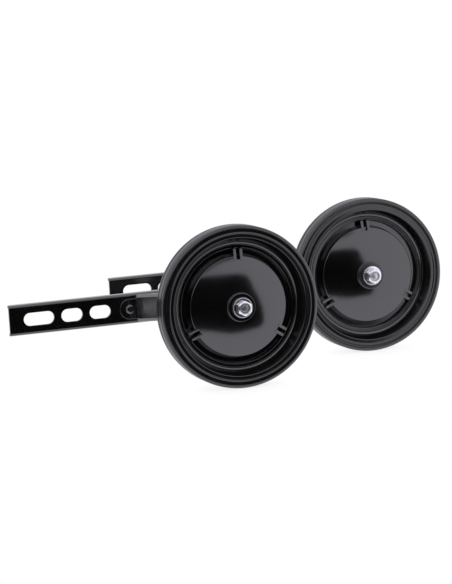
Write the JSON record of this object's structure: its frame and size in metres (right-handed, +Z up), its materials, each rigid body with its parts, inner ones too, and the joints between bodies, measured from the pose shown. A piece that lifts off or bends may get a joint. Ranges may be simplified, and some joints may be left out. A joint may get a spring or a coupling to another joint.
{
  "type": "bicycle training wheels",
  "caption": "Pair of stabiliser wheels for a child's bicycle: slotted channel arms with braces carry domed black disc wheels with rubber tyres that spin on bolted axles.",
  "frame": {"origin": "outer face of the front arm, midway between its two short axle slots", "axes": "+X along the arms from the slotted end to the wheels, -Y outboard, +Z up"},
  "size_m": [0.3615, 0.1716, 0.12],
  "materials": {
    "arm_paint": "gloss black paint",
    "brace_paint": "gloss black paint",
    "black_steel": "black coated",
    "zinc_steel": "zinc plated",
    "plain_steel": "turned",
    "bush_plastic": "moulded",
    "disc_plastic": "high gloss",
    "tyre_rubber": "satin rubber",
    "bright_zinc": "bright zinc"
  },
  "bodies": {
    "arms": {"front_arm": "arm_paint", "front_brace": "brace_paint", "front_brace_bolt": "black_steel", "front_brace_nut": "zinc_steel", "front_axle_bolt": "zinc_steel", "front_spacer": "zinc_steel", "front_clamp_nut": "zinc_steel", "front_washer": "zinc_steel", "front_sleeve": "plain_steel", "front_flange_nut": "bright_zinc", "rear_arm": "arm_paint", "rear_brace": "brace_paint", "rear_brace_bolt": "black_steel", "rear_brace_nut": "zinc_steel", "rear_axle_bolt": "zinc_steel", "rear_spacer": "zinc_steel", "rear_clamp_nut": "zinc_steel", "rear_washer": "zinc_steel", "rear_sleeve": "plain_steel", "rear_flange_nut": "bright_zinc"},
    "front_wheel": {"front_inner_bush": "bush_plastic", "front_outer_bush": "bush_plastic", "front_wheel_disc": "disc_plastic", "front_tyre": "tyre_rubber"},
    "rear_wheel": {"rear_inner_bush": "bush_plastic", "rear_outer_bush": "bush_plastic", "rear_wheel_disc": "disc_plastic", "rear_tyre": "tyre_rubber"}
  },
  "joints": [
    {"name": "front_wheel_spin", "type": "hinge", "parent": "arms", "child": "front_wheel", "pos_m": [0.1023, -0.046, 0], "axis": [0, -1, 0], "continuous": true},
    {"name": "rear_wheel_spin", "type": "hinge", "parent": "arms", "child": "rear_wheel", "pos_m": [0.2433, 0.054, 0], "axis": [0, -1, 0], "continuous": true}
  ]
}
